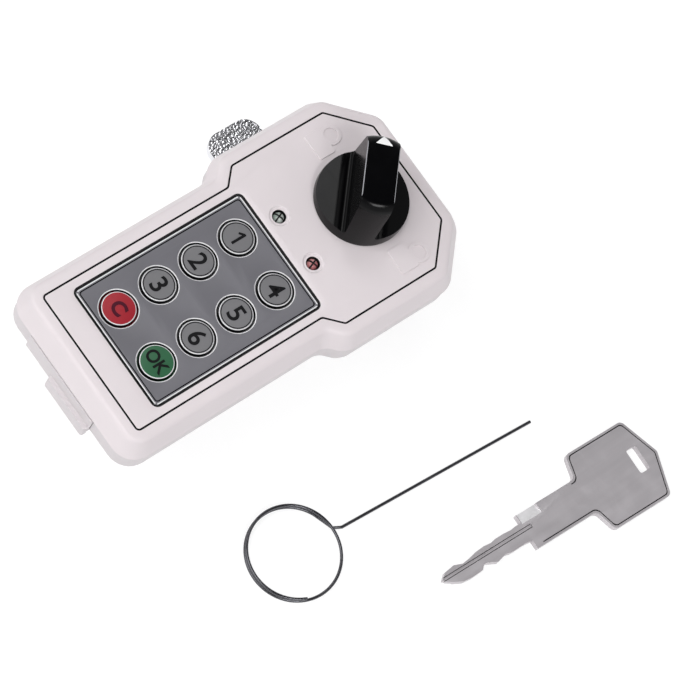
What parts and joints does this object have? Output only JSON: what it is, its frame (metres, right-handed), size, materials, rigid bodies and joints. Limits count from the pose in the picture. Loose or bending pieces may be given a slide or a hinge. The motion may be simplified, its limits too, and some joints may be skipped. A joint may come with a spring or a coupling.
{
  "type": "electronic cabinet lock",
  "caption": "Cabinet lock with an off-white waisted casing, grey keypad, indicator lights, black grip knob and plated cam, with a flat override key and a ring-ended release pin.",
  "frame": {"origin": "on the spindle axis, in the plane of the door that the mounting plate lies against", "axes": "+Z out of the lock's face towards the user, +Y along the casing from the keypad towards the knob end, +X to the user's right"},
  "size_m": [0.1431, 0.1387, 0.0598],
  "materials": {
    "casing_plastic": "fine satin moulding, pinkish off-white",
    "casing_plastic_rear": "fine satin moulding, off-white",
    "plate_plastic": "satin moulding",
    "keypad_grey": "satin grey",
    "key_grey": "satin grey with dark printed legend",
    "key_red": "satin red with dark printed legend",
    "key_green": "satin green with dark printed legend",
    "led_green_lens": "clear tinted lens",
    "led_red_lens": "clear tinted lens",
    "knob_black": "gloss black",
    "pointer_white": "white inlay",
    "bright_zinc": "bright plated",
    "plain_steel": "bright steel",
    "plug_brass": "turned brass",
    "nickel_silver": "nickel silver, milled",
    "board_green": "solder-masked board",
    "mat_rubber": "silicone",
    "seal_rubber": "rubber",
    "contact_plating": "plated spring strip",
    "cell_steel": "bright steel can"
  },
  "bodies": {
    "casing": {"front_shell": "casing_plastic", "rear_base": "casing_plastic_rear", "mounting_plate": "plate_plastic", "keypad_panel": "keypad_grey", "circuit_board": "board_green", "key_mat": "mat_rubber", "led_green": "led_green_lens", "led_red": "led_red_lens", "contact_plus": "contact_plating", "contact_minus": "contact_plating", "case_screw_1": "plain_steel", "case_screw_2": "plain_steel", "case_screw_3": "plain_steel", "case_screw_4": "plain_steel", "threaded_boss": "bright_zinc", "boss_nut": "bright_zinc", "sleeve_seal": "seal_rubber", "solenoid": "plain_steel", "plunger_spring": "plain_steel"},
    "drive_sleeve": {"drive_sleeve": "plain_steel"},
    "knob": {"knob": "knob_black", "knob_pointer": "pointer_white"},
    "spindle": {"spindle": "plain_steel", "key_plug": "plug_brass", "wafer_1": "plain_steel", "wafer_2": "plain_steel", "wafer_3": "plain_steel", "wafer_4": "plain_steel", "stop_washer": "bright_zinc", "cam": "bright_zinc", "cam_screw": "bright_zinc"},
    "solenoid_plunger": {"solenoid_plunger": "plain_steel"},
    "battery_tray": {"battery_tray": "casing_plastic_rear", "battery_cell_1": "cell_steel", "battery_cell_2": "cell_steel", "contact_link": "contact_plating"},
    "override_key": {"override_key": "nickel_silver"},
    "release_pin": {"release_pin": "plain_steel"},
    "key_1": {"key_1": "key_grey"},
    "key_2": {"key_2": "key_grey"},
    "key_3": {"key_3": "key_grey"},
    "key_4": {"key_4": "key_grey"},
    "key_5": {"key_5": "key_grey"},
    "key_6": {"key_6": "key_grey"},
    "key_clear": {"key_clear": "key_red"},
    "key_ok": {"key_ok": "key_green"}
  },
  "joints": [
    {"name": "knob_turn", "type": "hinge", "parent": "casing", "child": "drive_sleeve", "pos_m": [0, 0, 0.0156], "axis": [0, 0, 1], "range_deg": [-90, 0]},
    {"name": "knob_pull_off", "type": "slide", "parent": "drive_sleeve", "child": "knob", "axis": [0, 0, 1], "range_m": [0, 0.012]},
    {"name": "spindle_turn", "type": "hinge", "parent": "casing", "child": "spindle", "pos_m": [0, 0, 0], "axis": [0, 0, 1], "range_deg": [-90, 0]},
    {"name": "plunger_slide", "type": "slide", "parent": "casing", "child": "solenoid_plunger", "axis": [-1, 0, 0], "range_m": [0, 0.0022], "stiffness_N_per_m": 80},
    {"name": "battery_tray_slide", "type": "slide", "parent": "casing", "child": "battery_tray", "axis": [0, -1, 0], "range_m": [0, 0.05]},
    {"name": "key_1_press", "type": "slide", "parent": "casing", "child": "key_1", "axis": [0, 0, -1], "range_m": [0, 0.0005], "stiffness_N_per_m": 400},
    {"name": "key_2_press", "type": "slide", "parent": "casing", "child": "key_2", "axis": [0, 0, -1], "range_m": [0, 0.0005], "stiffness_N_per_m": 400},
    {"name": "key_3_press", "type": "slide", "parent": "casing", "child": "key_3", "axis": [0, 0, -1], "range_m": [0, 0.0005], "stiffness_N_per_m": 400},
    {"name": "key_4_press", "type": "slide", "parent": "casing", "child": "key_4", "axis": [0, 0, -1], "range_m": [0, 0.0005], "stiffness_N_per_m": 400},
    {"name": "key_5_press", "type": "slide", "parent": "casing", "child": "key_5", "axis": [0, 0, -1], "range_m": [0, 0.0005], "stiffness_N_per_m": 400},
    {"name": "key_6_press", "type": "slide", "parent": "casing", "child": "key_6", "axis": [0, 0, -1], "range_m": [0, 0.0005], "stiffness_N_per_m": 400},
    {"name": "key_clear_press", "type": "slide", "parent": "casing", "child": "key_clear", "axis": [0, 0, -1], "range_m": [0, 0.0005], "stiffness_N_per_m": 400},
    {"name": "key_ok_press", "type": "slide", "parent": "casing", "child": "key_ok", "axis": [0, 0, -1], "range_m": [0, 0.0005], "stiffness_N_per_m": 400},
    {"name": "override_key_lift", "type": "slide", "parent": "casing", "child": "override_key", "axis": [0, 0, 1], "range_m": [0, 0.06]},
    {"name": "release_pin_lift", "type": "slide", "parent": "casing", "child": "release_pin", "axis": [0, 0, 1], "range_m": [0, 0.06]}
  ],
  "couplings": [
    {"joint": "spindle_turn", "follows": "knob_turn", "ratio": 1}
  ]
}
